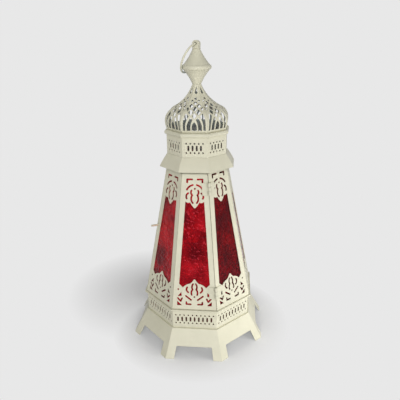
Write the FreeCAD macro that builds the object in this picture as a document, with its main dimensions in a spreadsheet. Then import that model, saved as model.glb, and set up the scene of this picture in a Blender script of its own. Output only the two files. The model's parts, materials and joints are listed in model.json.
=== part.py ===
import FreeCAD, Part
import math
import os
import Sketcher

Vector = FreeCAD.Vector
Rotation = FreeCAD.Rotation
Placement = FreeCAD.Placement

X_AXIS = Vector(1, 0, 0)
Z_AXIS = Vector(0, 0, 1)
ORIGIN = Vector(0, 0, 0)

# The lantern is an octagon all the way up, so every ring and wall turns in eighths
SIDES = 8
SIDE_ANGLE = 360.0 / SIDES
COS_HALF = f"cos({SIDE_ANGLE / 2} deg)"
SIN_HALF = f"sin({SIDE_ANGLE / 2} deg)"

# Sides are counted anticlockwise from above, starting at the front (-Y)
SIDE_NAMES = ("front", "right_front", "right", "right_back", "back", "left_back", "left", "left_front")
DOOR_SIDES = (0, 7)
HINGE_CORNER = 0
CLOSING_CORNER = 6
DOOR_CORNER = 7

# Driving dimensions: alias, millimetres or degrees, meaning
SIZES = (
    ("sheet_thickness", 0.8, "painted sheet steel of walls, roof and dome"),
    ("glass_thickness", 2.0, "red glass panes"),
    ("solder_gap", 0.03, "seam between soldered pieces"),
    ("swing_gap", 0.4, "clearance between the door and the fixed frame"),
    ("foot_radius", 111.5, "corner radius of the skirt on the floor"),
    ("skirt_top_radius", 88.6, "corner radius at the top of the skirt"),
    ("skirt_height", 40.5, "height of the flared skirt"),
    ("skirt_sheet", 1.0, "sheet of the skirt"),
    ("flange_width", 8.0, "shelf turned in at the top of the skirt"),
    ("foot_width", 13.0, "foot on each side of its corner, at the floor"),
    ("arch_height", 17.0, "height of the cut-out between two feet"),
    ("arch_inset", 3.0, "how far the cut-out narrows towards its top"),
    ("band_inset", 2.2, "pierced base band inside the top corner of the skirt"),
    ("band_height", 31.5, "height of the pierced base band"),
    ("band_slot_width", 2.5, "air slot in the base band"),
    ("band_slot_height", 8.2, "air slot in the base band"),
    ("band_slot_pitch", 6.3, "spacing of slots and dots in the base band"),
    ("band_slot_count", 9, "slots on each side of the base band"),
    ("band_slot_rise", 15.3, "middle of the slots above the bottom of the band"),
    ("band_dot_rise", 7.0, "dot rows above and below the middle of the slots"),
    ("air_dot_diameter", 2.4, "round air holes"),
    ("rail_overhang", 4.2, "corner of the rail outside the corner of the band"),
    ("rail_thickness", 2.0, "height of the rail"),
    ("rail_width", 12.0, "radial width of the rail"),
    ("cup_radius", 20.5, "inside radius of the candle cup"),
    ("cup_height", 11.0, "height of the candle cup"),
    ("cup_rim", 4.0, "width of the flat foot of the candle cup"),
    ("wall_inset", 2.4, "corner of the walls inside the corner of the rail"),
    ("wall_top_radius", 48.3, "corner radius of the walls at the top of the door"),
    ("door_height", 200.0, "upright height of the door panels"),
    ("strip_width", 8.0, "plain strip at each side of a panel"),
    ("stroke_width", 2.5, "pierced lines of the panel ornament"),
    ("ornament_dot", 2.6, "pierced dots of the panel ornament"),
    ("ornament_lift", 5.5, "upper ornament of a fixed panel above that of the door"),
    ("post_leg", 4.0, "leg of the folded corner posts"),
    ("post_end_gap", 2.5, "posts stop short of the rail and of the wall top"),
    ("pane_inset", 5.6, "edge of the glass from the edge of its panel"),
    ("pane_bottom", 2.5, "lower edge of the glass above the panel edge"),
    ("pane_top_gap", 3.5, "upper edge of the glass below the door top"),
    ("clip_sheet", 0.6, "spring strip of the glass clips"),
    ("clip_width", 8.0, "glass clip along the edge of the glass"),
    ("clip_reach", 4.0, "glass clip over the back of the glass"),
    ("clip_foot", 0.8, "foot of a glass clip beside the glass"),
    ("clip_low", 26.0, "lower clips above the bottom of the pane"),
    ("clip_high", 22.0, "upper clips below the top of the pane"),
    ("eave_overhang", 12.0, "corner of the eave outside the corner of the upper band"),
    ("eave_gap", 4.4, "lip of the eave above the top of the door"),
    ("eave_rise", 18.6, "height of the eave"),
    ("eave_bulge", 0.5, "swell of the eave out of a straight slope"),
    ("gallery_inset", 2.3, "upper pierced band inside the top corner of the walls"),
    ("gallery_rise", 28.0, "upper pierced band above the eave"),
    ("gallery_skirt", 24.0, "upper pierced band below the top of the eave"),
    ("gallery_slot_width", 2.6, "air slot in the upper band"),
    ("gallery_slot_height", 7.8, "air slot in the upper band"),
    ("gallery_slot_pitch", 5.8, "spacing of slots and dots in the upper band"),
    ("gallery_slot_count", 4, "slots on each side of the upper band"),
    ("gallery_slot_rise", 13.2, "middle of the slots above the top of the eave"),
    ("gallery_dot_rise", 6.5, "dot rows above and below the middle of the slots"),
    ("moulding_overhang", 3.2, "corner of the moulding outside the corner of the upper band"),
    ("moulding_height", 6.0, "height of the rounded moulding"),
    ("moulding_width", 5.4, "radial width of the rounded moulding"),
    ("moulding_bulge", 2.2, "swell of the rounded moulding"),
    ("dome_inset", 1.1, "foot of the dome inside the flat of the upper band"),
    ("dome_swell", 2.7, "widest flat of the dome outside its foot"),
    ("dome_belly_height", 13.0, "widest level above the moulding"),
    ("dome_crown_radius", 18.5, "rounding above the widest level"),
    ("dome_crown_angle", 62.0, "turn of that rounding before the curve reverses"),
    ("dome_neck_apothem", 5.8, "flat of the dome at its neck"),
    ("dome_height", 61.7, "dome from moulding to neck"),
    ("finial_lap", 0.6, "bottom of the spun finial outside the neck of the dome"),
    ("finial_belt_radius", 20.9, "widest edge of the finial"),
    ("finial_belt_swell", 2.4, "edge of the belt outside the two halves"),
    ("finial_lower_height", 18.8, "lower half of the finial"),
    ("finial_belt_height", 6.8, "belt between the halves"),
    ("finial_upper_height", 20.0, "upper half of the finial"),
    ("finial_tip_radius", 5.4, "top of the finial"),
    ("finial_hollow", 0.9, "hollow of both cones of the finial"),
    ("eye_width", 10.6, "hanging eye, across"),
    ("eye_thickness", 5.4, "hanging eye, through its hole"),
    ("eye_hole_radius", 2.0, "hole of the hanging eye"),
    ("eye_hole_rise", 7.4, "hole above the finial"),
    ("eye_crown", 4.3, "top of the eye above the middle of its hole"),
    ("eye_foot", 4.6, "half width of the eye on the finial"),
    ("ring_wire", 2.6, "wire of the carrying ring"),
    ("ring_radius", 21.4, "middle of the ring's wire"),
    ("ring_rest_gap", 0.3, "resting ring from the edge of the belt"),
    ("ring_azimuth", 158.0, "direction in which the ring leans, anticlockwise from +X"),
    ("hinge_offset", 2.6, "hinge axis outside the corner of the walls"),
    ("hinge_length", 18.0, "length of one hinge barrel"),
    ("hinge_low", 28.0, "lower hinge above the rail, along the corner"),
    ("hinge_drop", 21.0, "upper hinge below the top of the door, along the corner"),
    ("knuckle_radius", 2.2, "outside of the hinge barrel"),
    ("hinge_pin_radius", 1.0, "hinge pin"),
    ("hinge_fit", 0.05, "radial play of the hinge pin"),
    ("knuckle_gap", 0.3, "end play between knuckles"),
    ("leaf_sheet", 0.8, "hinge leaves"),
    ("leaf_width", 7.0, "hinge leaf on its panel"),
    ("leaf_clear", 2.8, "leaf away from the corner beside the other leaf's knuckle"),
    ("pull_height", 113.0, "door pull above the rail, along the panel"),
    ("pull_edge", 3.7, "door pull from the edge of the panel"),
    ("pull_length", 14.0, "door pull"),
    ("pull_radius", 1.5, "door pull"),
    ("pull_collar", 2.6, "collar where the pull meets the panel"),
)

doc = FreeCAD.newDocument("candle_lantern")
sheet = doc.addObject("Spreadsheet::Sheet", "Sizes")
for row, (alias, amount, meaning) in enumerate(SIZES, start=1):
    sheet.set(f"A{row}", meaning)
    sheet.set(f"B{row}", str(amount))
    sheet.setAlias(f"B{row}", alias)
doc.recompute()


def number(expression):
    """Value of an expression of the size sheet."""
    return float(sheet.evalExpression(expression))


def size(alias):
    return number(f"Sizes.{alias}")


# Heights where one storey of the lantern stands on the one below
BAND_TOP = "(Sizes.skirt_height + Sizes.band_height)"
WALL_BASE = f"({BAND_TOP} + Sizes.rail_thickness)"
EAVE_LIP = f"({WALL_BASE} + Sizes.door_height + Sizes.eave_gap)"
EAVE_TOP = f"({EAVE_LIP} + Sizes.eave_rise)"
GALLERY_TOP = f"({EAVE_TOP} + Sizes.gallery_rise)"
DOME_BASE = f"({GALLERY_TOP} + Sizes.moulding_height)"
FINIAL_BASE = f"({DOME_BASE} + Sizes.dome_height)"
BELT_BASE = f"({FINIAL_BASE} + Sizes.finial_lower_height)"
BELT_TOP = f"({BELT_BASE} + Sizes.finial_belt_height)"
FINIAL_TOP = f"({BELT_TOP} + Sizes.finial_upper_height)"
EYE_HOLE = f"({FINIAL_TOP} + Sizes.eye_hole_rise)"

# Corner radii that follow from the storey below or beside
BAND_RADIUS = "(Sizes.skirt_top_radius - Sizes.band_inset)"
RAIL_RADIUS = f"({BAND_RADIUS} + Sizes.rail_overhang)"
WALL_RADIUS = f"({RAIL_RADIUS} - Sizes.wall_inset)"
GALLERY_RADIUS = "(Sizes.wall_top_radius - Sizes.gallery_inset)"
EAVE_RADIUS = f"({GALLERY_RADIUS} + Sizes.eave_overhang)"
MOULDING_RADIUS = f"({GALLERY_RADIUS} + Sizes.moulding_overhang)"

# The walls lean in: taper per millimetre of height, tilt of a side and lean of a corner
TAPER = f"(({WALL_RADIUS} - Sizes.wall_top_radius) / Sizes.door_height)"
TILT = f"atan({TAPER} * {COS_HALF})"
LEAN = f"atan({TAPER})"
FOLD = f"acos(cos({TILT})^2 * cos({SIDE_ANGLE} deg) + sin({TILT})^2)"
PANEL_SETBACK = f"(Sizes.sheet_thickness * tan({FOLD} / 2) + Sizes.solder_gap)"
PANEL_FOOT = f"(Sizes.sheet_thickness * tan({TILT}) + Sizes.solder_gap)"
DOOR_SETBACK = f"({PANEL_SETBACK} + Sizes.swing_gap)"
DOOR_FOOT = f"({PANEL_FOOT} + Sizes.swing_gap)"
GALLERY_APOTHEM = f"({GALLERY_RADIUS} * {COS_HALF})"
DOME_FOOT = f"({GALLERY_APOTHEM} - Sizes.dome_inset)"
DOME_BELLY = f"({DOME_FOOT} + Sizes.dome_swell)"
FIXED_HEIGHT = (
    f"(({WALL_RADIUS} * {COS_HALF} - Sizes.sheet_thickness / cos({TILT})"
    f" - {GALLERY_APOTHEM} - Sizes.solder_gap) / ({TAPER} * {COS_HALF}))"
)


def apothem(radius):
    """Flat of an octagon from its corner radius."""
    return f"({radius} * {COS_HALF})"


def slope(height):
    """Length along a leaning side for an upright height."""
    return f"(({height}) / cos({TILT}))"


def half_width(along):
    """Half width of a side at a length along it, from corner to corner line."""
    return f"(({WALL_RADIUS} - {TAPER} * ({along}) * cos({TILT})) * {SIN_HALF})"


def new_body(name):
    return doc.addObject("PartDesign::Body", name)


def new_sketch(body, plane, name, offset=None):
    sketch = body.newObject("Sketcher::SketchObject", name)
    support = [feature for feature in body.Origin.OriginFeatures if feature.Role == plane][0]
    sketch.AttachmentSupport = [(support, "")]
    sketch.MapMode = "FlatFace"
    if offset:
        sketch.setExpression("AttachmentOffset.Base.z", offset)
    return sketch


def bind_polygon(sketch, corners):
    """Closed polygon whose corners are pairs of expressions of the size sheet."""
    points = [Vector(number(x), number(y), 0) for x, y in corners]
    first = sketch.GeometryCount
    count = len(points)
    for index, point in enumerate(points):
        sketch.addGeometry(Part.LineSegment(point, points[(index + 1) % count]), False)
    for index, (x, y) in enumerate(corners):
        line = first + index
        following = first + (index + 1) % count
        sketch.addConstraint(Sketcher.Constraint("Coincident", line, 2, following, 1))
        across = sketch.addConstraint(Sketcher.Constraint("DistanceX", -1, 1, line, 1, points[index].x))
        sketch.setExpression(f"Constraints[{across}]", x)
        up = sketch.addConstraint(Sketcher.Constraint("DistanceY", -1, 1, line, 1, points[index].y))
        sketch.setExpression(f"Constraints[{up}]", y)


def outline_edges(points):
    """Closed outline as lines and arcs: a point marked 'via' is the middle of an arc."""
    edges = []
    count = len(points)
    index = 0
    while index < count:
        start = Vector(points[index][0], points[index][1], 0)
        middle = points[(index + 1) % count]
        if len(middle) == 3:
            end = points[(index + 2) % count]
            edges.append(Part.Arc(start, Vector(middle[0], middle[1], 0), Vector(end[0], end[1], 0)))
            index += 2
        else:
            edges.append(Part.LineSegment(start, Vector(middle[0], middle[1], 0)))
            index += 1
    return edges


def draw_outline(sketch, points):
    for edge in outline_edges(points):
        sketch.addGeometry(edge, False)


def draw_dot(sketch, x, y, diameter):
    sketch.addGeometry(Part.Circle(Vector(x, y, 0), Z_AXIS, diameter / 2), False)


def pad(body, profile, length, midplane=False, reverse=False):
    feature = body.newObject("PartDesign::Pad", f"{body.Name}_pad")
    feature.Profile = profile
    feature.setExpression("Length", length)
    feature.Midplane = midplane
    feature.Reversed = reverse
    return feature


def pocket(body, profile, name, reverse=False):
    """Cut through the whole body on one side of the sketch."""
    doc.recompute()
    before = body.Shape.Volume
    feature = body.newObject("PartDesign::Pocket", f"{body.Name}_{name}")
    feature.Profile = profile
    feature.Type = "ThroughAll"
    feature.Reversed = reverse
    doc.recompute()
    if body.Shape.Volume >= before:
        raise RuntimeError(f"{feature.Name} cuts nothing")
    return feature


def repeat_round(body, feature):
    """Repeat a feature on every side of the octagon."""
    pattern = body.newObject("PartDesign::PolarPattern", f"{feature.Name}_sides")
    pattern.Originals = [feature]
    z_axis = [item for item in body.Origin.OriginFeatures if item.Role == "Z_Axis"][0]
    pattern.Axis = (z_axis, [""])
    pattern.Angle = 360
    pattern.Occurrences = SIDES
    body.Tip = pattern
    doc.recompute()


def octagon_ring(name, path_apothem, section, draw):
    """Ring with mitred corners: a section, as apothem and height, swept round an octagon."""
    body = new_body(name)
    path = new_sketch(body, "XY_Plane", f"{name}_path")
    near = path_apothem
    across = f"({path_apothem} * tan({SIDE_ANGLE / 2} deg))"
    bind_polygon(path, (
        (near, "0"), (near, across), (across, near), (f"-{across}", near), (f"-{near}", across),
        (f"-{near}", f"-{across}"), (f"-{across}", f"-{near}"), (across, f"-{near}"), (near, f"-{across}"),
    ))
    profile = new_sketch(body, "XZ_Plane", f"{name}_section")
    draw(profile, section)
    doc.recompute()
    pipe = body.newObject("PartDesign::AdditivePipe", f"{name}_pipe")
    pipe.Profile = profile
    pipe.Spine = (path, [])
    pipe.Transition = "Right corner"
    doc.recompute()
    return body


def turned(name, outline):
    """Turned piece: a closed outline of radius and height spun about the upright axis."""
    body = new_body(name)
    profile = new_sketch(body, "XZ_Plane", f"{name}_profile")
    draw_outline(profile, outline)
    spin = body.newObject("PartDesign::Revolution", f"{name}_spin")
    spin.Profile = profile
    spin.ReferenceAxis = (profile, ["V_Axis"])
    spin.Angle = 360
    doc.recompute()
    return body


def slot_face(x, y, width, height):
    """Upright slot with round ends."""
    radius = width / 2
    straight = height / 2 - radius
    outline = (
        (x - radius, y - straight), (x, y - height / 2, "via"), (x + radius, y - straight),
        (x + radius, y + straight), (x, y + height / 2, "via"), (x - radius, y + straight),
    )
    return Part.Face(Part.Wire([edge.toShape() for edge in outline_edges(outline)]))


def dot_face(x, y, diameter):
    circle = Part.Circle(Vector(x, y, 0), Z_AXIS, diameter / 2)
    return Part.Face(Part.Wire([circle.toShape()]))


def pierced_band(name, ring, prefix, middle, reach):
    """Rows of slots and dots cut through every side of a band."""
    pitch = size(f"{prefix}_slot_pitch")
    count = int(size(f"{prefix}_slot_count"))
    faces = []
    for index in range(count):
        x = (index - (count - 1) / 2) * pitch
        faces.append(slot_face(x, middle, size(f"{prefix}_slot_width"), size(f"{prefix}_slot_height")))
    for index in range(count + 1):
        x = (index - count / 2) * pitch
        for rise in (-size(f"{prefix}_dot_rise"), size(f"{prefix}_dot_rise")):
            faces.append(dot_face(x, middle + rise, size("air_dot_diameter")))
    holes = []
    upright = Placement(Vector(0, -reach / 2, 0), Rotation(X_AXIS, 90))
    for side in range(SIDES):
        place = Placement(ORIGIN, side_turn(side)) * upright
        for face in faces:
            hole = face.extrude(Vector(0, 0, reach))
            hole.Placement = place
            holes.append(hole)
    cutter = doc.addObject("Part::Feature", f"{name}_holes")
    cutter.Shape = Part.makeCompound(holes)
    band = doc.addObject("Part::Cut", f"{name}_pierced")
    band.Base = ring
    band.Tool = cutter
    doc.recompute()
    keep(name, band)


def side_turn(side):
    return Rotation(Z_AXIS, SIDE_ANGLE * side)


def wall_place(side):
    """Frame of a leaning side: x to the right from outside, y up the side, z outwards."""
    turn = side_turn(side)
    base = turn.multVec(Vector(0, -number(apothem(WALL_RADIUS)), number(WALL_BASE)))
    return Placement(base, turn * Rotation(X_AXIS, 90 - number(TILT)))


def corner_place(corner, along=0.0, outward=0.0):
    """Frame of a leaning corner: x outwards, y anticlockwise, z up the corner."""
    turn = Rotation(Z_AXIS, SIDE_ANGLE * (corner + 0.5) - 90)
    lean = Rotation(Vector(0, 1, 0), -number(LEAN))
    foot = turn.multVec(Vector(number(WALL_RADIUS), 0, number(WALL_BASE)))
    frame = Placement(foot, turn * lean)
    return frame * Placement(Vector(outward, 0, along), Rotation())


parts = {}


def keep(node, source, placement=None):
    """Add a sub-part: the source object itself, or a placed copy of it."""
    if placement is None:
        source.Label = node
        parts[node] = source
        return
    copy = doc.addObject("Part::Feature", node)
    copy.Shape = source.Shape
    copy.Placement = placement
    copy.Label = node
    parts[node] = copy


def keep_group(node, source, placements):
    """Add identical pieces as one sub-part of separate solids."""
    solids = []
    for placement in placements:
        solid = source.Shape.copy()
        solid.Placement = placement
        solids.append(solid)
    group = doc.addObject("Part::Feature", node)
    group.Shape = Part.makeCompound(solids)
    parts[node] = group


# Flared skirt: sheet cut to eight feet, with a shelf turned in at the top
def make_skirt():
    foot = apothem("Sizes.foot_radius")
    top = apothem("Sizes.skirt_top_radius")
    skirt = octagon_ring("base_skirt", top, (
        (foot, "0"),
        (top, "Sizes.skirt_height"),
        (f"({top} - Sizes.flange_width)", "Sizes.skirt_height"),
        (f"({top} - Sizes.flange_width)", "(Sizes.skirt_height - Sizes.skirt_sheet)"),
        (f"({top} - Sizes.skirt_sheet)", "(Sizes.skirt_height - Sizes.skirt_sheet)"),
        (f"({foot} - Sizes.skirt_sheet)", "0"),
    ), bind_polygon)
    low = f"(Sizes.foot_radius * {SIN_HALF} - Sizes.foot_width)"
    high = f"({low} - Sizes.arch_inset)"
    arch = new_sketch(skirt, "XZ_Plane", "foot_arch")
    bind_polygon(arch, (
        (f"-{low}", "-Sizes.skirt_sheet"), (low, "-Sizes.skirt_sheet"), (low, "0"),
        (high, "Sizes.arch_height"), (f"-{high}", "Sizes.arch_height"), (f"-{low}", "0"),
    ))
    repeat_round(skirt, pocket(skirt, arch, "arch", reverse=True))
    keep("base_skirt", skirt)


# Pierced band that lets air in under the glass
def make_band():
    outer = apothem(BAND_RADIUS)
    inner = f"({outer} - Sizes.sheet_thickness)"
    ring = octagon_ring("base_band_ring", outer, (
        (outer, "Sizes.skirt_height"), (outer, BAND_TOP), (inner, BAND_TOP), (inner, "Sizes.skirt_height"),
    ), bind_polygon)
    middle = number("Sizes.skirt_height + Sizes.band_slot_rise")
    pierced_band("base_band", ring, "band", middle, number(BAND_RADIUS))


# Floor of the candle chamber, lying on the shelf of the skirt inside the band
def make_floor():
    edge = f"({apothem(BAND_RADIUS)} - Sizes.sheet_thickness - Sizes.solder_gap)"
    across = f"({edge} * tan({SIDE_ANGLE / 2} deg))"
    floor = new_body("floor_tray")
    outline = new_sketch(floor, "XY_Plane", "floor_outline", "Sizes.skirt_height")
    bind_polygon(outline, (
        (edge, across), (across, edge), (f"-{across}", edge), (f"-{edge}", across),
        (f"-{edge}", f"-{across}"), (f"-{across}", f"-{edge}"), (across, f"-{edge}"), (edge, f"-{across}"),
    ))
    pad(floor, outline, "Sizes.sheet_thickness")
    keep("floor_tray", floor)


# Round cup that holds the candle in the middle of the floor
def make_cup():
    inside = size("cup_radius")
    wall = inside + size("sheet_thickness")
    foot = wall + size("cup_rim")
    bottom = number("Sizes.skirt_height + Sizes.sheet_thickness")
    base = bottom + size("sheet_thickness")
    top = bottom + size("cup_height")
    keep("candle_cup", turned("candle_cup", (
        (0, bottom), (foot, bottom), (foot, base), (wall, base),
        (wall, top), (inside, top), (inside, base), (0, base),
    )))


# Rail that overhangs the band and carries the walls
def make_rail():
    outer = apothem(RAIL_RADIUS)
    inner = f"({outer} - Sizes.rail_width)"
    keep("bottom_rail", octagon_ring("bottom_rail", outer, (
        (outer, BAND_TOP), (outer, WALL_BASE), (inner, WALL_BASE), (inner, BAND_TOP),
    ), bind_polygon))


# Pierced lines of the panel ornament, for its right half, in millimetres
# The upper ornament counts down from the door top, the lower one up from the panel foot
# Both are drawn for a side of these half widths, and widen or narrow with the side
UPPER_HALF_WIDTH = 18.48
LOWER_HALF_WIDTH = 33.75
UPPER_CURVES = (
    ((2.9, 15.6), (7.0, 17.4), (11.2, 22.2)),
    ((4.6, 23.4), (5.4, 26.6), (3.6, 30.2)),
    ((3.6, 30.2), (5.1, 34.8), (2.9, 41.4)),
    ((9.4, 27.4), (11.8, 30.2), (11.5, 35.0)),
)
UPPER_BENDS = (((10.8, 11.8), (10.8, 7.6), (3.8, 7.6)),)
UPPER_DOT = 21.0
UPPER_EDGE = (
    (9.4, 41.2, "via"), (6.4, 40.6), (4.3, 44.6, "via"), (1.5, 48.1), (0.0, 49.0, "via"),
)
UPPER_SHOULDER = 39.2
LOWER_CURVES = (
    ((2.0, 40.6), (3.6, 36.4), (2.7, 31.8)),
    ((2.7, 31.8), (4.5, 28.0), (4.0, 23.6)),
    ((10.6, 35.2), (11.6, 31.2), (9.0, 27.4)),
)
LOWER_BENDS = (((12.6, 21.6), (5.0, 15.7)), ((11.9, 12.0), (11.9, 8.9), (5.4, 8.7)))
LOWER_SPANDRELS = (
    ((24.9, 21.2), (19.2, 27.8), (19.0, 21.2)),
    ((25.8, 13.6), (25.8, 6.8), (18.4, 6.8)),
)
SPANDREL_BENDS = (((24.6, 17.9), (20.6, 13.2), (18.4, 17.7)),)
SPANDREL_DOT = (24.0, 31.8)
LOWER_DOT = 20.4
LOWER_EDGE = (
    (17.1, 34.6), (12.4, 38.9, "via"), (6.6, 40.9), (3.8, 43.4, "via"), (1.5, 46.7), (0.0, 47.6, "via"),
)
LOWER_SHOULDER = 40.2


def stroke_face(edges):
    """Pierced line of even width with round ends along a chain of edges."""
    reach = size("stroke_width") / 2
    if len(edges) == 1 and isinstance(edges[0], Part.LineSegment):
        start = edges[0].StartPoint
        end = edges[0].EndPoint
        run = (end - start).normalize() * reach
        side = Vector(-run.y, run.x, 0)
        corners = (start + side, start - run, start - side, end - side, end + run, end + side)
        marks = ((), ("via",), (), (), ("via",), ())
        outline = [(corner.x, corner.y) + mark for corner, mark in zip(corners, marks)]
        return Part.Face(Part.Wire([edge.toShape() for edge in outline_edges(outline)]))
    path = Part.Wire([edge.toShape() for edge in edges])
    return Part.Face(path.makeOffset2D(reach, openResult=False))


def mirror_points(points):
    return tuple((-point[0],) + tuple(point[1:]) for point in points)


def widen(points, spread):
    return [(point[0] * spread,) + tuple(point[1:]) for point in points]


def ornament_faces(height_of, spread, curves, bends, triangles, dots):
    """Faces to pierce, drawn on both sides of the middle line."""
    faces = []
    for flip in (spread, -spread):
        def spot(point):
            return Vector(flip * point[0], height_of(point[1]), 0)
        for start, middle, end in curves:
            faces.append(stroke_face([Part.Arc(spot(start), spot(middle), spot(end))]))
        for points in bends:
            spots = [spot(point) for point in points]
            faces.append(stroke_face([Part.LineSegment(a, b) for a, b in zip(spots, spots[1:])]))
        for points in triangles:
            spots = [spot(point) for point in points]
            faces.append(Part.Face(Part.makePolygon(spots + spots[:1])))
        for point in dots:
            faces.append(dot_face(flip * point[0], height_of(point[1]), size("ornament_dot")))
    return faces


def window_face(door_top, upper_spread, lower_spread):
    """Window between the two ornaments: strips at the sides, cusped edges above and below."""
    def strip(along):
        return number(f"{half_width(along)} - Sizes.strip_width")
    upper_side = door_top - UPPER_SHOULDER
    upper = [(strip(upper_side), upper_side)]
    upper_edge = widen(UPPER_EDGE, upper_spread)
    upper += [(point[0], door_top - point[1]) + tuple(point[2:]) for point in upper_edge]
    lower = [(strip(LOWER_SHOULDER), LOWER_SHOULDER)] + widen(LOWER_EDGE, lower_spread)
    left_lower = list(mirror_points(lower))
    left_upper = list(reversed(mirror_points(upper[:-1])))
    outline = upper + left_upper + left_lower[:-1] + list(reversed(lower))
    return Part.Face(Part.Wire([edge.toShape() for edge in outline_edges(outline)]))


def make_ornament(name, lift):
    """Everything pierced in a panel, its upper part raised by a lift."""
    door_top = number(slope("Sizes.door_height")) + lift

    def from_top(down):
        return door_top - down

    def from_foot(up):
        return up

    upper = number(half_width(slope("Sizes.door_height"))) / UPPER_HALF_WIDTH
    lower = number(half_width("0")) / LOWER_HALF_WIDTH
    faces = [window_face(door_top, upper, lower)]
    faces += ornament_faces(from_top, upper, UPPER_CURVES, UPPER_BENDS, (), ())
    lower_bends = LOWER_BENDS + SPANDREL_BENDS
    faces += ornament_faces(from_foot, lower, LOWER_CURVES, lower_bends, LOWER_SPANDRELS, (SPANDREL_DOT,))
    for middle in (from_top(UPPER_DOT), from_foot(LOWER_DOT)):
        faces.append(dot_face(0.0, middle, size("ornament_dot")))
    reach = size("sheet_thickness")
    cutter = doc.addObject("Part::Feature", name)
    cutter.Shape = Part.makeCompound([face.extrude(Vector(0, 0, -3 * reach)) for face in faces])
    cutter.Placement = Placement(Vector(0, 0, reach), Rotation())
    return cutter


# Wall panels: one pierced sheet for each side, lower on the two sides of the door
def make_panel(name, height, ornament, foot=PANEL_FOOT, left=PANEL_SETBACK, right=PANEL_SETBACK):
    """Left and right are how far each edge stays back from the line of its corner."""
    blank = new_body(f"{name}_blank")
    outline = new_sketch(blank, "XY_Plane", f"{name}_outline")
    top = slope(height)
    bind_polygon(outline, (
        (f"-({half_width(foot)} - {left})", foot), (f"({half_width(foot)} - {right})", foot),
        (f"({half_width(top)} - {right})", top), (f"-({half_width(top)} - {left})", top),
    ))
    pad(blank, outline, "Sizes.sheet_thickness", reverse=True)
    panel = doc.addObject("Part::Cut", name)
    panel.Base = blank
    panel.Tool = ornament
    doc.recompute()
    return panel


# Glass pane lying against the back of its panel
PANE_TOP = slope("Sizes.door_height") + " - Sizes.pane_top_gap"
PANE_DEPTH = "(Sizes.sheet_thickness + Sizes.solder_gap)"


def pane_half(along):
    return f"({half_width(along)} - Sizes.pane_inset)"


def make_pane():
    pane = new_body("glass_pane")
    outline = new_sketch(pane, "XY_Plane", "pane_outline", f"-{PANE_DEPTH}")
    low = pane_half("Sizes.pane_bottom")
    high = pane_half(PANE_TOP)
    bind_polygon(outline, (
        (f"-{low}", "Sizes.pane_bottom"), (low, "Sizes.pane_bottom"),
        (high, PANE_TOP), (f"-{high}", PANE_TOP),
    ))
    pad(pane, outline, "Sizes.glass_thickness", reverse=True)
    doc.recompute()
    return pane


# Clip bent over the edge of a pane, its foot soldered to the back of the panel
CLIP_BACK = f"({PANE_DEPTH} + Sizes.glass_thickness + Sizes.solder_gap)"


def make_clip():
    clip = new_body("glass_clip")
    outline = new_sketch(clip, "XZ_Plane", "clip_outline")
    near = "-(Sizes.clip_foot + Sizes.solder_gap)"
    beside = "-Sizes.solder_gap"
    end = f"-({CLIP_BACK} + Sizes.clip_sheet)"
    bind_polygon(outline, (
        (near, f"-{PANE_DEPTH}"), (beside, f"-{PANE_DEPTH}"), (beside, f"-{CLIP_BACK}"),
        ("Sizes.clip_reach", f"-{CLIP_BACK}"), ("Sizes.clip_reach", end), (near, end),
    ))
    pad(clip, outline, "Sizes.clip_width", midplane=True)
    doc.recompute()
    return clip


def clip_places(side):
    """Four clips on a pane, two on each slanting edge."""
    edge_angle = math.degrees(math.atan(number(f"{TAPER} * {SIN_HALF} * cos({TILT})")))
    frame = wall_place(side)
    places = []
    for along in (number("Sizes.pane_bottom + Sizes.clip_low"), number(f"{PANE_TOP} - Sizes.clip_high")):
        half = number(pane_half(str(along)))
        places.append(frame * Placement(Vector(-half, along, 0), Rotation(Z_AXIS, -edge_angle)))
        places.append(frame * Placement(Vector(half, along, 0), Rotation(Z_AXIS, 180 + edge_angle)))
    return places


# Corner post: a strip folded along its middle, soldered behind two panels
def make_post(name, height, depth):
    """Depth is the distance of each leg behind the outer face of its panel, clockwise leg first."""
    half_fold = math.radians(number(FOLD)) / 2
    leg = size("post_leg")
    thickness = size("sheet_thickness")

    def leg_end(sign, back):
        normal = Vector(math.cos(half_fold), sign * math.sin(half_fold), 0)
        run = Vector(-math.sin(half_fold), sign * math.cos(half_fold), 0)
        return run * (leg + depth[0] * math.tan(half_fold)) - normal * back

    def meeting(back):
        """Point where the two legs meet when each lies so far behind its panel."""
        first, second = back
        along = (first + second) / (2 * math.cos(half_fold))
        across = (second - first) / (2 * math.sin(half_fold))
        return Vector(-along, -across, 0)

    back = [behind + thickness for behind in depth]
    points = (
        meeting(depth), leg_end(-1, depth[0]), leg_end(-1, back[0]), meeting(back),
        leg_end(1, back[1]), leg_end(1, depth[1]),
    )
    post = new_body(name)
    section = new_sketch(post, "XY_Plane", f"{name}_section")
    draw_outline(section, [(point.x, point.y) for point in points])
    pad(post, section, f"({height}) / cos({LEAN}) - 2 * Sizes.post_end_gap")
    doc.recompute()
    return post


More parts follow.
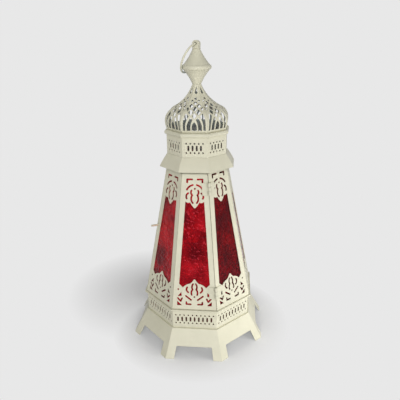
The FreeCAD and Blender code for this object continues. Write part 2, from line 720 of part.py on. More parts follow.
def make_walls():
    ornament = make_ornament("door_ornament", 0.0)
    fixed_ornament = make_ornament("fixed_ornament", size("ornament_lift"))
    fixed_panel = make_panel("fixed_panel", FIXED_HEIGHT, fixed_ornament)
    door = "Sizes.door_height"
    door_panels = {
        DOOR_SIDES[0]: make_panel("hinge_panel", door, ornament, DOOR_FOOT, right=DOOR_SETBACK),
        DOOR_SIDES[1]: make_panel("free_panel", door, ornament, DOOR_FOOT, left=DOOR_SETBACK),
    }
    pane = make_pane()
    clip = make_clip()
    fixed_clips = []
    door_clips = []
    for side, side_name in enumerate(SIDE_NAMES):
        on_door = side in DOOR_SIDES
        prefix = "door_" if on_door else ""
        keep(f"{prefix}panel_{side_name}", door_panels.get(side, fixed_panel), wall_place(side))
        keep(f"{prefix}glass_{side_name}", pane, wall_place(side))
        (door_clips if on_door else fixed_clips).extend(clip_places(side))
    keep_group("glass_clips", clip, fixed_clips)
    keep_group("door_glass_clips", clip, door_clips)
    seated = number("Sizes.sheet_thickness + Sizes.solder_gap")
    free = number("Sizes.sheet_thickness + Sizes.swing_gap")
    corner_post = make_post("folded_post", door, (seated, seated))
    hinge_post = make_post("hinge_post_strip", door, (free, seated))
    closing_post = make_post("closing_post_strip", door, (seated, free))
    names = {HINGE_CORNER: "hinge_post", CLOSING_CORNER: "closing_post", DOOR_CORNER: "door_post"}
    strips = {HINGE_CORNER: hinge_post, CLOSING_CORNER: closing_post}
    for corner in range(SIDES):
        place = corner_place(corner, along=size("post_end_gap"))
        keep(names.get(corner, f"corner_post_{corner}"), strips.get(corner, corner_post), place)


# Eave: flared sheet with a slight swell, soldered round the upper band
def make_eave():
    lip = number(apothem(EAVE_RADIUS))
    inner = number(f"{GALLERY_APOTHEM} + Sizes.solder_gap")
    low = number(EAVE_LIP)
    high = number(EAVE_TOP)
    thickness = size("sheet_thickness")
    run = Vector(lip - inner, low - high, 0).normalize()
    normal = Vector(-run.y, run.x, 0)
    middle = Vector((lip + inner) / 2, (low + high) / 2, 0) + normal * size("eave_bulge")
    back = middle - normal * thickness
    drop = thickness / run.x
    keep("eave", octagon_ring("eave", apothem(EAVE_RADIUS), (
        (inner, high), (middle.x, middle.y, "via"), (lip, low), (lip - thickness / -run.y, low),
        (back.x, back.y, "via"), (inner, high - drop),
    ), draw_outline))


# Upper pierced band, whose lower edge stands inside the walls
def make_gallery():
    outer = GALLERY_APOTHEM
    inner = f"({outer} - Sizes.sheet_thickness)"
    low = f"({EAVE_TOP} - Sizes.gallery_skirt)"
    ring = octagon_ring("gallery_ring", outer, (
        (outer, low), (outer, GALLERY_TOP), (inner, GALLERY_TOP), (inner, low),
    ), bind_polygon)
    middle = number(f"{EAVE_TOP} + Sizes.gallery_slot_rise")
    pierced_band("gallery", ring, "gallery", middle, number(GALLERY_RADIUS))


# Rounded moulding that caps the upper band and carries the dome
def make_moulding():
    outer = number(apothem(MOULDING_RADIUS))
    inner = outer - size("moulding_width")
    low = number(GALLERY_TOP)
    high = number(DOME_BASE)
    shoulder = outer - size("moulding_bulge")
    keep("dome_moulding", octagon_ring("dome_moulding", apothem(MOULDING_RADIUS), (
        (inner, low), (shoulder, low), (outer, (low + high) / 2, "via"), (shoulder, high), (inner, high),
    ), draw_outline))


# Openings of one dome gore, for its right half: across, then above the moulding
# They are drawn for a dome of this height and widest flat, and stretch with it
GORE_HEIGHT = 61.7
GORE_BELLY = 44.1
GORE_ARCH = (
    (-3.4, 3.8), (3.4, 3.8), (3.4, 9.0), (2.4, 12.6, "via"), (0.0, 15.7), (-2.4, 12.6, "via"), (-3.4, 9.0),
)
GORE_FLANK = (
    (5.3, 3.8), (10.4, 3.8), (10.4, 10.6), (8.3, 16.1, "via"), (5.0, 21.2),
    (2.3, 18.5), (4.5, 13.3, "via"), (5.3, 9.0),
)
GORE_LEAF = (
    (12.4, 3.8), (15.4, 3.8), (15.4, 13.4), (14.2, 20.6, "via"), (11.5, 26.4),
    (7.7, 23.0), (10.8, 16.9, "via"), (12.4, 10.8),
)
GORE_DROP = ((-1.9, 50.5), (0.0, 48.8, "via"), (1.9, 50.5), (0.0, 58.6))
# Lattice diamonds of a gore: across, up, half width, half height
GORE_MIDDLE_DIAMONDS = ((23.2, 3.0, 3.6), (31.2, 3.4, 3.0), (37.7, 2.9, 2.4), (43.0, 2.2, 1.9))
GORE_SIDE_DIAMONDS = (
    (5.2, 27.4, 3.5, 3.3), (5.1, 34.5, 3.2, 2.5), (4.4, 40.4, 1.8, 1.6), (9.8, 31.2, 1.7, 2.4),
)


def diamond(x, y, half_across, half_up):
    return ((x - half_across, y), (x, y - half_up), (x + half_across, y), (x, y + half_up))


def gore_openings():
    openings = [GORE_ARCH, GORE_DROP]
    openings += [diamond(0.0, *shape) for shape in GORE_MIDDLE_DIAMONDS]
    for shape in (GORE_FLANK, GORE_LEAF):
        openings += [shape, mirror_points(shape)]
    for across, up, half_across, half_up in GORE_SIDE_DIAMONDS:
        openings += [diamond(across, up, half_across, half_up), diamond(-across, up, half_across, half_up)]
    lift = size("dome_height") / GORE_HEIGHT
    spread = number(DOME_BELLY) / GORE_BELLY
    base = number(DOME_BASE)
    return [
        [(point[0] * spread, base + point[1] * lift) + tuple(point[2:]) for point in opening]
        for opening in openings
    ]


def dome_curve(inset):
    """Onion curve, set in by a distance, as (apothem, height) points with arc middles marked."""
    base = number(DOME_FOOT)
    belly = number(DOME_BELLY)
    rise = size("dome_belly_height")
    crown = size("dome_crown_radius")
    turn = math.radians(size("dome_crown_angle"))
    low_radius = (rise ** 2 + (belly - base) ** 2) / (2 * (belly - base))
    low_turn = math.asin(rise / low_radius)
    crown_middle = Vector(belly - crown, rise, 0)
    to_neck = Vector(size("dome_neck_apothem"), size("dome_height"), 0) - crown_middle
    direction = Vector(math.cos(turn), math.sin(turn), 0)
    reach = to_neck.dot(direction)
    hollow = (to_neck.Length ** 2 - 2 * crown * reach + crown ** 2) / (2 * (reach - crown))
    hollow_middle = crown_middle + direction * (crown + hollow)
    last = (to_neck + crown_middle - hollow_middle).normalize()
    last_angle = math.atan2(last.y, last.x)
    first_angle = turn - math.pi

    def low_arc(angle):
        radius = low_radius - inset
        return (belly - low_radius + radius * math.cos(angle), rise + radius * math.sin(angle))

    def crown_arc(angle):
        point = crown_middle + Vector(math.cos(angle), math.sin(angle), 0) * (crown - inset)
        return (point.x, point.y)

    def hollow_arc(angle):
        point = hollow_middle + Vector(math.cos(angle), math.sin(angle), 0) * (hollow + inset)
        return (point.x, point.y)

    return [
        low_arc(-low_turn), low_arc(-low_turn / 2) + ("via",),
        crown_arc(0.0), crown_arc(turn / 2) + ("via",),
        crown_arc(turn), hollow_arc((first_angle + last_angle) / 2) + ("via",), hollow_arc(last_angle),
    ]


# Dome gore: pierced sheet bent to the onion curve and mitred to its neighbours
def make_gores():
    base = number(DOME_BASE)
    outer = dome_curve(0.0)
    inner = list(reversed(dome_curve(size("sheet_thickness"))))
    gore = new_body("dome_gore")
    profile = new_sketch(gore, "XZ_Plane", "gore_profile")
    draw_outline(profile, [(point[0], point[1] + base) + tuple(point[2:]) for point in outer + inner])
    pad(gore, profile, f"4 * {DOME_BELLY} * tan({SIDE_ANGLE / 2} deg)", midplane=True)
    reach = 2 * number(DOME_BELLY)
    seam = size("solder_gap")
    half = math.tan(math.radians(SIDE_ANGLE / 2))
    mitre = new_sketch(gore, "XY_Plane", "gore_mitre")
    for flip in (1, -1):
        draw_outline(mitre, (
            (0.0, -flip * seam), (reach, flip * (reach * half - seam)),
            (reach, flip * 2 * reach), (0.0, flip * 2 * reach),
        ))
    pocket(gore, mitre, "mitre", reverse=True)
    lattice = new_sketch(gore, "YZ_Plane", "gore_lattice")
    for opening in gore_openings():
        draw_outline(lattice, opening)
    pocket(gore, lattice, "lattice", reverse=True)
    for side, side_name in enumerate(SIDE_NAMES):
        keep(f"dome_gore_{side_name}", gore, Placement(ORIGIN, Rotation(Z_AXIS, SIDE_ANGLE * side - 90)))


# Finial: two spun cones joined by a beaded belt
def make_finial():
    wall = size("sheet_thickness")
    neck = number("Sizes.dome_neck_apothem + Sizes.finial_lap")
    rim = number("Sizes.finial_belt_radius - Sizes.finial_belt_swell")
    tip = size("finial_tip_radius")
    low = number(FINIAL_BASE)
    belt = number(BELT_BASE)
    belt_top = number(BELT_TOP)
    top = number(FINIAL_TOP)
    edge = size("finial_belt_radius")
    middle = (belt + belt_top) / 2

    def hollow_line(first, second):
        """Middle of a slightly hollow cone line."""
        run = Vector(second[0] - first[0], second[1] - first[1], 0).normalize()
        normal = Vector(run.y, -run.x, 0)
        half_way = Vector((first[0] + second[0]) / 2, (first[1] + second[1]) / 2, 0)
        point = half_way - normal * size("finial_hollow")
        return (point.x, point.y, "via")

    neck_out = (neck, low)
    neck_in = (neck - wall, low)
    low_out = (rim, belt)
    low_in = (rim - 2 * wall, belt)
    high_out = (rim, belt_top)
    high_in = (rim - 2 * wall, belt_top)
    tip_out = (tip, top)
    tip_in = (tip - wall, top - wall)
    keep("finial_lower", turned("finial_lower", (
        neck_out, hollow_line(neck_out, low_out), low_out, low_in, hollow_line(neck_in, low_in), neck_in,
    )))
    keep("finial_belt", turned("finial_belt", (low_in, low_out, (edge, middle, "via"), high_out, high_in)))
    keep("finial_upper", turned("finial_upper", (
        high_out, hollow_line(high_out, tip_out), tip_out, (0, top), (0, top - wall),
        tip_in, hollow_line(high_in, tip_in), high_in,
    )))


def ring_turn():
    """Turn that points the hole of the eye across the lean of the ring."""
    return Rotation(Z_AXIS, size("ring_azimuth"))


# Hanging eye: rounded lug with a hole, standing on the finial
def make_eye():
    half = size("eye_width") / 2
    low = number(FINIAL_TOP)
    hole = number(EYE_HOLE)
    top = hole + size("eye_crown")
    eye = new_body("hanger_eye")
    outline = new_sketch(eye, "XZ_Plane", "eye_outline")
    foot = size("eye_foot")
    draw_outline(outline, ((-foot, low), (foot, low), (half, hole), (0, top, "via"), (-half, hole)))
    draw_dot(outline, 0, hole, 2 * size("eye_hole_radius"))
    pad(eye, outline, "Sizes.eye_thickness", midplane=True)
    eye.Placement = Placement(ORIGIN, ring_turn())
    doc.recompute()
    keep("hanger_eye", eye)


def belt_gap(lean):
    """Least distance of the ring's wire from the rounded edge of the belt at a lean."""
    swell = size("finial_belt_swell")
    half_height = size("finial_belt_height") / 2
    edge_radius = (swell ** 2 + half_height ** 2) / (2 * swell)
    edge_middle = size("finial_belt_radius") - edge_radius
    drop = number(f"{EYE_HOLE} - {BELT_TOP} + Sizes.finial_belt_height / 2")
    radius = size("ring_radius")
    gaps = []
    for degree in range(180):
        angle = math.radians(degree)
        along = radius * (1 - math.cos(angle))
        reach = math.hypot(radius * math.sin(angle), along * math.sin(lean))
        height = drop - along * math.cos(lean)
        gaps.append(math.hypot(reach - edge_middle, height) - edge_radius)
    return min(gaps) - size("ring_wire") / 2


def resting_lean():
    """Lean from hanging straight down, in degrees, at which the ring comes to rest on the belt."""
    low = 0.0
    high = math.pi / 2
    for _ in range(40):
        lean = (low + high) / 2
        if belt_gap(lean) < size("ring_rest_gap"):
            low = lean
        else:
            high = lean
    return math.degrees(high)


# Carrying ring: a closed wire ring through the eye, leaning on the belt of the finial
def make_ring():
    ring = doc.addObject("Part::Torus", "carrying_ring")
    ring.setExpression("Radius1", "Sizes.ring_radius")
    ring.setExpression("Radius2", "Sizes.ring_wire / 2")
    lean = resting_lean()
    down = Vector(math.sin(math.radians(lean)), 0, -math.cos(math.radians(lean)))
    centre = Vector(0, 0, number(EYE_HOLE)) + ring_turn().multVec(down * size("ring_radius"))
    ring.Placement = Placement(centre, ring_turn() * Rotation(Vector(0, 1, 0), 90 - lean))
    keep("carrying_ring", ring)


# Barrel hinges: leaves on the panels beside the hinge corner, knuckles round one slanting pin
def leaf_solid(turn_sign, spans):
    """One hinge leaf with its knuckles, in the hinge's own frame, z along the pin."""
    half_fold = math.radians(number(FOLD)) / 2
    run = Vector(-math.sin(half_fold), turn_sign * math.cos(half_fold), 0)
    normal = Vector(math.cos(half_fold), turn_sign * math.sin(half_fold), 0)
    corner = Vector(-size("hinge_offset"), 0, 0) + normal * size("solder_gap")
    thickness = normal * size("leaf_sheet")
    length = size("hinge_length")
    behind = -size("hinge_offset") * math.sin(half_fold)

    def plate(start, end, low, high):
        first = corner + run * start + Vector(0, 0, low)
        second = corner + run * end + Vector(0, 0, low)
        wire = Part.makePolygon([first, second, second + thickness, first + thickness, first])
        return Part.Face(wire).extrude(Vector(0, 0, high - low))

    solid = plate(size("leaf_clear"), size("leaf_clear") + size("leaf_width"), -length / 2, length / 2)
    bore = size("hinge_pin_radius") + size("hinge_fit")
    for low, high in spans:
        knuckle = Part.makeCylinder(size("knuckle_radius"), high - low, Vector(0, 0, low))
        solid = solid.fuse([plate(behind, size("leaf_clear"), low, high), knuckle])
    solid = solid.cut(Part.makeCylinder(bore, 2 * length, Vector(0, 0, -length)))
    return solid.removeSplitter()


def make_hinges():
    length = size("hinge_length")
    gap = size("knuckle_gap") / 2
    third = length / 6
    outer_spans = ((-length / 2, -third - gap), (third + gap, length / 2))
    inner_span = ((-third + gap, third - gap),)
    heights = (size("hinge_low"), number(f"Sizes.door_height / cos({LEAN}) - Sizes.hinge_drop"))
    places = [corner_place(HINGE_CORNER, along, size("hinge_offset")) for along in heights]
    for node, turn_sign, spans in (("hinge_leaves", 1, outer_spans), ("door_hinge_leaves", -1, inner_span)):
        leaf = doc.addObject("Part::Feature", f"{node}_leaf")
        leaf.Shape = leaf_solid(turn_sign, spans)
        keep_group(node, leaf, places)
    pin = doc.addObject("Part::Cylinder", "hinge_pin")
    pin.setExpression("Radius", "Sizes.hinge_pin_radius")
    pin.setExpression("Height", "Sizes.hinge_length")
    doc.recompute()
    lowered = Placement(Vector(0, 0, -length / 2), Rotation())
    keep_group("hinge_pins", pin, [place * lowered for place in places])


# Door pull: a round-ended pin on the free edge of the door
def make_pull():
    radius = size("pull_radius")
    length = size("pull_length")
    collar = size("pull_collar")
    diagonal = math.sqrt(0.5)
    pull = turned("door_pull_pin", (
        (0, 0), (collar, 0), (collar, size("sheet_thickness")), (radius, size("sheet_thickness")),
        (radius, length - radius), (radius * diagonal, length - radius * (1 - diagonal), "via"), (0, length),
    ))
    along = number(slope("Sizes.pull_height"))
    across = -number(f"{half_width(slope('Sizes.pull_height'))} - Sizes.pull_edge")
    seat = Placement(Vector(across, along, size("solder_gap")), Rotation())
    keep("door_pull", pull, wall_place(DOOR_SIDES[1]) * seat)


make_skirt()
make_band()
make_floor()
make_cup()
make_rail()
make_walls()
make_eave()
make_gallery()
make_moulding()
make_gores()
make_finial()
make_eye()
make_ring()
make_hinges()
make_pull()
doc.recompute()

for item in doc.Objects:
    if any(state in ("Invalid", "Error") for state in item.State):
        raise RuntimeError(f"{item.Name} failed: {item.State}")
for node, item in parts.items():
    if item.Shape.isNull() or not item.Shape.isValid():
        raise RuntimeError(f"{node} has no valid shape")

os.makedirs("parts", exist_ok=True)
for node, item in parts.items():
    item.Shape.exportStep(f"parts/{node}.step")
print(len(parts), "sub-parts written")
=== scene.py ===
import json
import math

import bpy
from mathutils import Matrix, Quaternion, Vector, noise


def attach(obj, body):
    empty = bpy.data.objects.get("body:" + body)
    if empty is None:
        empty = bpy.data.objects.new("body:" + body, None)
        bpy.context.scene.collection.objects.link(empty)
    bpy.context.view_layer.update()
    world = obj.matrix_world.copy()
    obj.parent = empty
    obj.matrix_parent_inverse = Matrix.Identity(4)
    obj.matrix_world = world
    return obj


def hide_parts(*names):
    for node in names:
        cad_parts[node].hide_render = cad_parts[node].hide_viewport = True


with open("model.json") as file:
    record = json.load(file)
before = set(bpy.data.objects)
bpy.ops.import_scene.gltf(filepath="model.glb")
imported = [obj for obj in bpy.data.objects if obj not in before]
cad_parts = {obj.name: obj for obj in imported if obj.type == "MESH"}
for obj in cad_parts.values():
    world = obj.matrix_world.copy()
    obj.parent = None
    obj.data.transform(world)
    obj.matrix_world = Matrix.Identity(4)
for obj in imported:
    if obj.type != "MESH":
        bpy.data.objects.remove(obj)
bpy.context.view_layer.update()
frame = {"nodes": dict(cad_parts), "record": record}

SIDES = 8
SIDE_NAMES = ("front", "right_front", "right", "right_back", "back", "left_back", "left", "left_front")
DOOR_SIDES = ("front", "left_front")

# Camera at the photograph's viewing angle, in metres and degrees
CAMERA_TARGET = Vector((0.0, 0.0, 0.2181))
CAMERA_DISTANCE = 0.6714
CAMERA_AZIMUTH = 5.5
CAMERA_ELEVATION = 20.9
CAMERA_ROLL = -0.71
CAMERA_LENS = 39.15
CAMERA_SHIFT_X = 0.0045

# Soft studio light: name, power in watts, size, distance, azimuth, elevation, height it is aimed at
LAMPS = (
    ("fill", 25.3, 1.6, 2.2, 5.0, 20.0, 0.22),
    ("key", 0.52, 0.2, 0.4, 66.0, 14.0, 0.0),
)
BACKDROP_GREY = 0.807
AMBIENT_STRENGTH = 0.24
FLOOR_HALF = 6.0
FLOOR_ALBEDO = 0.8
FLOOR_LIFT = 0.2

# Patches of floor that keep their shadow, under the feet and beside them: middle, near and far reach
SHADOW_PATCHES = (((0.0, 0.0, 0.0), 0.1, 0.15), ((-0.1, 0.09, 0.0), 0.03, 0.16))

# Hammered glass: spacing of the mesh, size and depth of the dimples, in metres
GLASS_STEP = 0.0011
DIMPLE_SIZE = 0.0042
DIMPLE_DEPTH = 0.00055
RIPPLE_SIZE = 0.016
RIPPLE_DEPTH = 0.0003
GLASS_EDGE = 0.00004
DIMPLE_REACH = 0.75
PANE_SHIFT = 0.013
HAMMER_SCALE = 185.0
GLASS_IOR = 1.45
GLASS_GLOSS = (1.0, 0.12, 0.17, 1.0)

# Paint: radius of its rounded edges and reach of its painted shade in crevices in metres, samples for
# both
EDGE_RADIUS = 0.0005
CREVICE_SHADE_REACH = 0.004
MASK_SAMPLES = 6

# Colours of each paint: paint, shade (a darker tone laid at random), painted shade in crevices, worn
# edge, painted shade on the faces inside
PAINTS = {
    "cream_paint": (
        (0.80, 0.77, 0.60, 1.0), (0.74, 0.715, 0.55, 1.0), (0.30, 0.29, 0.20, 1.0),
        (0.40, 0.37, 0.28, 1.0), (0.40, 0.46, 0.45, 1.0)),
    # inner_paint is a darker copy of the cream paint: painted shade on the parts inside the lantern
    "inner_paint": (
        (0.62, 0.58, 0.45, 1.0), (0.50, 0.46, 0.35, 1.0), (0.16, 0.14, 0.10, 1.0),
        (0.30, 0.27, 0.20, 1.0), (0.40, 0.36, 0.28, 1.0)),
}

# Colours of each glass: clear, deep, painted glint, then its haze
GLASSES = {
    "red_glass": (
        (0.46, 0.003, 0.014, 1.0), (0.20, 0.001, 0.009, 1.0), (0.75, 0.03, 0.06, 1.0), 0.04),
    "light_glass": (
        (0.84, 0.028, 0.048, 1.0), (0.34, 0.008, 0.018, 1.0), (1.0, 0.10, 0.15, 1.0), 0.18),
}


class Graph:
    """A material's node tree, with short ways to add and link nodes."""

    def __init__(self, name):
        self.material = bpy.data.materials.new(name)
        self.material.use_nodes = True
        self.tree = self.material.node_tree
        self.shader = self.tree.nodes["Principled BSDF"]
        self.place = self.add("ShaderNodeTexCoord").outputs["Object"]

    def add(self, kind, sockets=None, **settings):
        node = self.tree.nodes.new(kind)
        for key, value in settings.items():
            setattr(node, key, value)
        for key, value in (sockets or {}).items():
            self.give(node.inputs[key], value)
        return node

    def give(self, socket, value):
        """Link an output to a socket, or set the socket to a plain value."""
        if isinstance(value, bpy.types.NodeSocket):
            self.tree.links.new(value, socket)
        else:
            socket.default_value = value

    def set(self, **sockets):
        for key, value in sockets.items():
            self.give(self.shader.inputs[key.replace("_", " ").title().replace("Ior", "IOR")], value)

    def stretched(self, scale):
        return self.add("ShaderNodeMapping", {"Vector": self.place, "Scale": scale}).outputs["Vector"]

    def noise(self, scale, detail=3.0, rough=0.55, vector=None):
        sockets = {"Vector": vector or self.place, "Scale": scale, "Detail": detail, "Roughness": rough}
        return self.add("ShaderNodeTexNoise", sockets).outputs["Fac"]

    def ramp(self, value, low, high, start=0.0, end=1.0):
        """Turn the range low..high of a value into start..end, clamped."""
        sockets = {"Value": value, "From Min": low, "From Max": high, "To Min": start, "To Max": end}
        return self.add("ShaderNodeMapRange", sockets).outputs["Result"]

    def math(self, operation, first, second):
        return self.add("ShaderNodeMath", {0: first, 1: second}, operation=operation).outputs[0]

    def mix(self, amount, first, second, blend="MIX"):
        node = self.add("ShaderNodeMix", data_type="RGBA", blend_type=blend)
        self.give(node.inputs["Factor"], amount)
        self.give(node.inputs[6], first)
        self.give(node.inputs[7], second)
        return node.outputs[2]

    def bump(self, height, strength, distance, normal=None):
        sockets = {"Height": height, "Strength": strength, "Distance": distance}
        node = self.add("ShaderNodeBump", sockets)
        if normal:
            self.give(node.inputs["Normal"], normal)
        return node.outputs["Normal"]

    def edges(self, radius):
        """Rounded normal, and a mask that is 1 along sharp edges."""
        rounded = self.add("ShaderNodeBevel", {"Radius": radius}, samples=MASK_SAMPLES).outputs["Normal"]
        flat = self.add("ShaderNodeNewGeometry").outputs["Normal"]
        sockets = {0: rounded, 1: flat}
        dot = self.add("ShaderNodeVectorMath", sockets, operation="DOT_PRODUCT").outputs["Value"]
        return rounded, self.ramp(dot, 0.95, 0.74)

    def inside(self):
        """Mask that is 1 on faces turned towards the lantern's upright axis."""
        coordinates = self.add("ShaderNodeTexCoord")
        flat = {0: coordinates.outputs["Object"], 1: (1.0, 1.0, 0.0)}
        outward = self.add("ShaderNodeVectorMath", flat, operation="MULTIPLY").outputs["Vector"]
        outward = self.add("ShaderNodeVectorMath", {0: outward}, operation="NORMALIZE").outputs["Vector"]
        facing = {0: outward, 1: coordinates.outputs["Normal"]}
        dot = self.add("ShaderNodeVectorMath", facing, operation="DOT_PRODUCT").outputs["Value"]
        return self.ramp(dot, -0.35, -0.55)

    def hollows(self, distance):
        """Mask that is 1 in corners and crevices, from ambient occlusion, where painted shade goes."""
        sockets = {"Distance": distance}
        occlusion = self.add("ShaderNodeAmbientOcclusion", sockets, samples=MASK_SAMPLES)
        return self.ramp(occlusion.outputs["AO"], 0.85, 0.35)


# Cream paint brushed on sheet metal: uneven tone, painted shade in corners and crevices, thin paint
# along edges, painted shade on the faces inside
def paint_material(name, paint, shade, crevice_shade, worn, inner_shade):
    graph = Graph(name)
    cloud = graph.noise(28.0, 4.0)
    mottle = graph.noise(210.0, 3.0)
    brush = graph.noise(60.0, 3.0, vector=graph.stretched((1.0, 1.0, 14.0)))
    peel = graph.noise(900.0, 2.0)
    rounded, edge = graph.edges(EDGE_RADIUS)
    tone = graph.mix(graph.ramp(cloud, 0.38, 0.68), paint, shade)
    tone = graph.mix(graph.ramp(mottle, 0.55, 0.8, 0.0, 0.35), tone, shade)
    # Painted shade: corners, seams and crevices darkened by ambient occlusion, patchy with the mottle
    crevice_shade_mask = graph.math("MULTIPLY", graph.hollows(CREVICE_SHADE_REACH), graph.ramp(mottle, 0.2, 0.7, 0.2, 0.6))
    tone = graph.mix(crevice_shade_mask, tone, crevice_shade)
    thin = graph.math("MULTIPLY", edge, graph.ramp(mottle, 0.45, 0.6, 0.0, 0.7))
    tone = graph.mix(thin, tone, worn)
    # Painted shade: faces turned towards the axis, inside the lantern, coloured darker
    inner_shade_mask = graph.math("MULTIPLY", graph.inside(), graph.ramp(cloud, 0.3, 0.6, 0.8, 1.0))
    tone = graph.mix(inner_shade_mask, tone, inner_shade)
    rough = graph.ramp(graph.math("ADD", brush, mottle), 0.7, 1.3, 0.34, 0.56)
    normal = graph.bump(brush, 0.06, 0.0005, rounded)
    normal = graph.bump(peel, 0.03, 0.0002, normal)
    graph.set(base_color=tone, roughness=rough, normal=normal, specular_ior_level=0.45)
    return graph.material


# Ruby glass: deep red with streaks, painted glints and a faint haze, that lets red light through to the
# inside
def glass_material(name, clear, deep, glint, haze):
    graph = Graph(name)
    cloud = graph.noise(27.0, 3.0)
    streak = graph.noise(90.0, 2.0, vector=graph.stretched((1.0, 1.0, 0.35)))
    cells = {"Vector": graph.place, "Scale": HAMMER_SCALE, "Smoothness": 0.2}
    hammer = graph.add("ShaderNodeTexVoronoi", cells, feature="SMOOTH_F1").outputs["Distance"]
    tone = graph.mix(graph.ramp(cloud, 0.42, 0.6), clear, deep)
    tone = graph.mix(graph.ramp(streak, 0.5, 0.75, 0.0, 0.4), tone, clear)
    # Painted glints: bright red on the middles of the hammer cells, where the streaks run
    glint_mask = graph.math("MULTIPLY", graph.ramp(hammer, 0.3, 0.12), graph.ramp(streak, 0.52, 0.62))
    tone = graph.mix(glint_mask, tone, glint)
    rough = graph.ramp(cloud, 0.3, 0.7, 0.03, 0.12)
    normal = graph.bump(hammer, 0.32, 0.0012)
    graph.set(base_color=tone, roughness=rough, normal=normal, specular_ior_level=0.3, ior=GLASS_IOR)
    graph.set(specular_tint=GLASS_GLOSS)
    graph.set(transmission_weight=graph.ramp(streak, 0.3, 0.7, 1.0 - 0.5 * haze, 1.0 - 1.5 * haze))
    shadow = graph.add("ShaderNodeLightPath").outputs["Is Shadow Ray"]
    through = graph.add("ShaderNodeBsdfTransparent", {"Color": clear}).outputs[0]
    sockets = {0: shadow, 1: graph.shader.outputs[0], 2: through}
    shader = graph.add("ShaderNodeMixShader", sockets).outputs[0]
    graph.tree.links.new(shader, graph.tree.nodes["Material Output"].inputs["Surface"])
    return graph.material


# Bare spring steel of clips and pins
def steel_material():
    graph = Graph("bare_steel")
    grain = graph.noise(300.0, 2.0, vector=graph.stretched((1.0, 1.0, 0.1)))
    stain = graph.noise(120.0, 3.0)
    tone = graph.mix(graph.ramp(stain, 0.4, 0.75), (0.52, 0.51, 0.49, 1.0), (0.28, 0.24, 0.20, 1.0))
    graph.set(base_color=tone, roughness=graph.ramp(grain, 0.3, 0.7, 0.25, 0.5), metallic=1.0)
    graph.set(normal=graph.bump(grain, 0.15, 0.0002))
    return graph.material


def dress_nodes():
    """Give every CAD node the material of its slot in the record."""
    materials = {"bare_steel": steel_material()}
    for name, colours in PAINTS.items():
        materials[name] = paint_material(name, *colours)
    for name, colours in GLASSES.items():
        materials[name] = glass_material(name, *colours)
    for subpart in frame["record"]["subparts"]:
        mesh = frame["nodes"][subpart["node"]].data
        mesh.materials.clear()
        mesh.materials.append(materials[subpart["material_slot"]])
    return materials


def pane_corners(node, side):
    """Corners of a pane's two faces, turned to the front: lower left and right, upper right and left."""
    turn = Matrix.Rotation(-math.tau * side / SIDES, 3, "Z")
    unique = {tuple(round(value, 6) for value in turn @ vertex.co) for vertex in node.data.vertices}
    by_height = sorted((Vector(point) for point in unique), key=lambda point: point.z)

    def face(points, front):
        ordered = sorted(points, key=lambda point: point.y)
        pair = ordered[:2] if front else ordered[2:]
        return sorted(pair, key=lambda point: point.x)

    corners = {}
    for front in (True, False):
        low_left, low_right = face(by_height[:4], front)
        high_left, high_right = face(by_height[4:], front)
        corners[front] = (low_left, low_right, high_right, high_left)
    return corners, turn.inverted()


def hammered(point, side):
    """Depth of the hammered surface at a point of a pane, from 0 to its deepest."""
    shifted = Vector((point.x, PANE_SHIFT * side, point.z))
    distances, _ = noise.voronoi(shifted / DIMPLE_SIZE)
    dimple = max(0.0, 1.0 - distances[0] / DIMPLE_REACH)
    ripple = 0.5 + 0.5 * noise.noise(shifted / RIPPLE_SIZE)
    return DIMPLE_DEPTH * dimple * dimple * (3.0 - 2.0 * dimple) + RIPPLE_DEPTH * ripple


# One pane of hammered glass in the place of its CAD plate
def make_pane(side, name, material):
    corners, back_turn = pane_corners(frame["nodes"][name], side)
    low_left, low_right, high_right, high_left = corners[True]
    columns = max(2, round((low_right - low_left).length / GLASS_STEP))
    rows = max(2, round((high_left - low_left).length / GLASS_STEP))
    inward = (corners[False][0] - low_left).normalized()
    vertices = []
    faces = []

    def spot(square, across, up):
        foot = square[0].lerp(square[1], across)
        head = square[3].lerp(square[2], across)
        return foot.lerp(head, up)

    def grid(square, direction, first):
        for row in range(rows + 1):
            for column in range(columns + 1):
                point = spot(square, column / columns, row / rows)
                edge = row in (0, rows) or column in (0, columns)
                depth = GLASS_EDGE if edge else hammered(point, side + (SIDES if first else 0))
                vertices.append(back_turn @ (point + direction * depth))
        for row in range(rows):
            for column in range(columns):
                start = first + row * (columns + 1) + column
                quad = (start, start + 1, start + columns + 2, start + columns + 1)
                faces.append(quad if first == 0 else tuple(reversed(quad)))

    grid(corners[True], inward, 0)
    count = len(vertices)
    grid(corners[False], -inward, count)
    rim = list(range(columns))
    rim += [row * (columns + 1) + columns for row in range(rows)]
    rim += [rows * (columns + 1) + column for column in range(columns, 0, -1)]
    rim += [row * (columns + 1) for row in range(rows, 0, -1)]
    for first, second in zip(rim, rim[1:] + rim[:1]):
        faces.append((second, first, count + first, count + second))
    mesh = bpy.data.meshes.new(f"hammered_{name}")
    mesh.from_pydata(vertices, [], faces)
    mesh.polygons.foreach_set("use_smooth", [True] * len(faces))
    mesh.materials.append(material)
    pane = bpy.data.objects.new(f"hammered_{name}", mesh)
    bpy.context.scene.collection.objects.link(pane)
    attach(pane, "door" if name.startswith("door_") else "lantern")
    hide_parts(name)


# The door's panes are of a lighter red than the others
def make_panes(materials):
    for side, side_name in enumerate(SIDE_NAMES):
        prefix = "door_" if side_name in DOOR_SIDES else ""
        glass = "light_glass" if prefix else "red_glass"
        make_pane(side, f"{prefix}glass_{side_name}", materials[glass])


def shown_mask(tree):
    """Mask that is 1 for rays that show the background: from the camera, in gloss and through glass."""
    path = tree.nodes.new("ShaderNodeLightPath")
    mask = path.outputs["Is Camera Ray"]
    for ray in ("Is Glossy Ray", "Is Transmission Ray"):
        larger = tree.nodes.new("ShaderNodeMath")
        larger.operation = "MAXIMUM"
        tree.links.new(mask, larger.inputs[0])
        tree.links.new(path.outputs[ray], larger.inputs[1])
        mask = larger.outputs[0]
    return mask


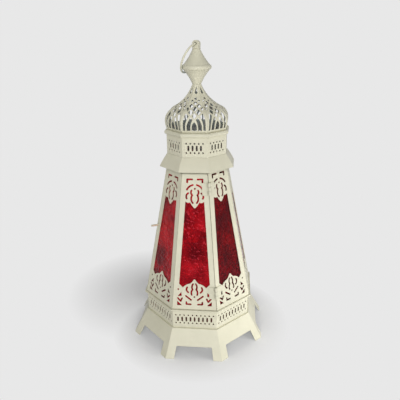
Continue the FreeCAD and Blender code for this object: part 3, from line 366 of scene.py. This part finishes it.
# Pale floor that keeps the shadow and runs out into the plain background
def make_floor():
    mesh = bpy.data.meshes.new("floor")
    half = FLOOR_HALF
    corners = [(-half, -half, 0), (half, -half, 0), (half, half, 0), (-half, half, 0)]
    mesh.from_pydata(corners, [], [(0, 1, 2, 3)])
    floor = bpy.data.objects.new("floor", mesh)
    bpy.context.scene.collection.objects.link(floor)
    graph = Graph("pale_floor")
    far = 1.0
    for middle, near_reach, far_reach in SHADOW_PATCHES:
        sockets = {0: graph.place, 1: middle}
        reach = graph.add("ShaderNodeVectorMath", sockets, operation="DISTANCE").outputs["Value"]
        far = graph.math("MINIMUM", graph.ramp(reach, near_reach, far_reach), far)
    shown = shown_mask(graph.tree)
    grey = (BACKDROP_GREY, BACKDROP_GREY, BACKDROP_GREY, 1.0)
    albedo = (FLOOR_ALBEDO, FLOOR_ALBEDO, FLOOR_ALBEDO, 1.0)
    graph.set(base_color=albedo, roughness=1.0, specular_ior_level=0.0)
    graph.set(emission_color=grey, emission_strength=graph.math("MULTIPLY", shown, FLOOR_LIFT))
    glow = graph.add("ShaderNodeEmission", {"Color": grey, "Strength": 1.0}).outputs[0]
    sockets = {0: graph.math("MULTIPLY", far, shown), 1: graph.shader.outputs[0], 2: glow}
    shader = graph.add("ShaderNodeMixShader", sockets).outputs[0]
    graph.tree.links.new(shader, graph.tree.nodes["Material Output"].inputs["Surface"])
    mesh.materials.append(graph.material)


def make_world():
    world = bpy.data.worlds.new("studio")
    world.use_nodes = True
    bpy.context.scene.world = world
    nodes = world.node_tree.nodes
    links = world.node_tree.links
    strength = nodes.new("ShaderNodeMapRange")
    strength.inputs["To Min"].default_value = AMBIENT_STRENGTH
    strength.inputs["To Max"].default_value = BACKDROP_GREY
    links.new(shown_mask(world.node_tree), strength.inputs["Value"])
    background = nodes["Background"]
    background.inputs["Color"].default_value = (1.0, 1.0, 1.0, 1.0)
    links.new(strength.outputs["Result"], background.inputs["Strength"])


def direction_from(azimuth, elevation):
    """Unit vector towards a viewpoint: azimuth 0 is in front, positive to the right."""
    turn = math.radians(azimuth)
    rise = math.radians(elevation)
    return Vector((math.sin(turn) * math.cos(rise), -math.cos(turn) * math.cos(rise), math.sin(rise)))


def make_lamp(name, power, size, distance, azimuth, elevation, height):
    light = bpy.data.lights.new(name, "AREA")
    light.shape = "DISK"
    light.size = size
    light.energy = power
    lamp = bpy.data.objects.new(name, light)
    bpy.context.scene.collection.objects.link(lamp)
    towards = direction_from(azimuth, elevation)
    lamp.location = Vector((0.0, 0.0, height)) + towards * distance
    lamp.rotation_mode = "QUATERNION"
    lamp.rotation_quaternion = (-towards).to_track_quat("-Z", "Y")
    lamp.visible_glossy = name != "key"


def make_camera():
    lens = bpy.data.cameras.new("camera")
    lens.lens = CAMERA_LENS
    lens.shift_x = CAMERA_SHIFT_X
    camera = bpy.data.objects.new("camera", lens)
    bpy.context.scene.collection.objects.link(camera)
    towards = direction_from(CAMERA_AZIMUTH, CAMERA_ELEVATION)
    camera.location = CAMERA_TARGET + towards * CAMERA_DISTANCE
    camera.rotation_mode = "QUATERNION"
    roll = Quaternion((0.0, 0.0, 1.0), math.radians(CAMERA_ROLL))
    camera.rotation_quaternion = (-towards).to_track_quat("-Z", "Y") @ roll
    bpy.context.scene.camera = camera


make_panes(dress_nodes())
make_floor()
make_world()
for lamp in LAMPS:
    make_lamp(*lamp)
make_camera()
bpy.context.scene.view_settings.view_transform = "Standard"
